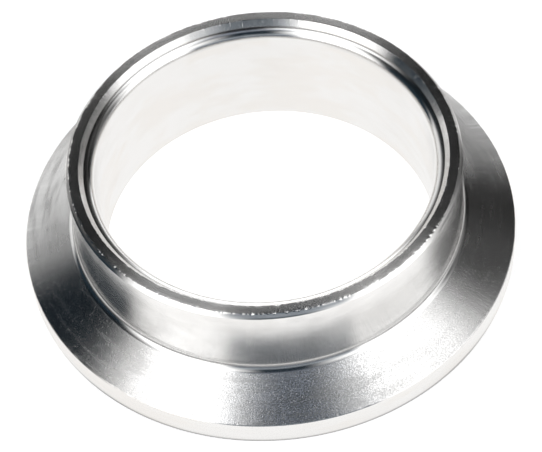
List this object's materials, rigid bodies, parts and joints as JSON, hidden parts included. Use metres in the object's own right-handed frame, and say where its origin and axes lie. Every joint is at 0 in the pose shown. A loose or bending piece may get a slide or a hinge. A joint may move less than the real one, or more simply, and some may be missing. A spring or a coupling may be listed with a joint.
{
  "type": "v-band flange",
  "caption": "Turned metal ring flange with a conical clamping rim, a flat sealing face and a short stepped collar into which a tube is welded.",
  "frame": {"origin": "on the flange's axis, in the plane of the flat sealing face that it stands on", "axes": "+Z along the axis, from the sealing face towards the collar's mouth; X and Y are any two directions across it"},
  "size_m": [0.0888, 0.0888, 0.0232],
  "materials": {
    "turned_steel": "bright turned, unpainted"
  },
  "bodies": {
    "root": {"flange": "turned_steel"}
  },
  "joints": []
}
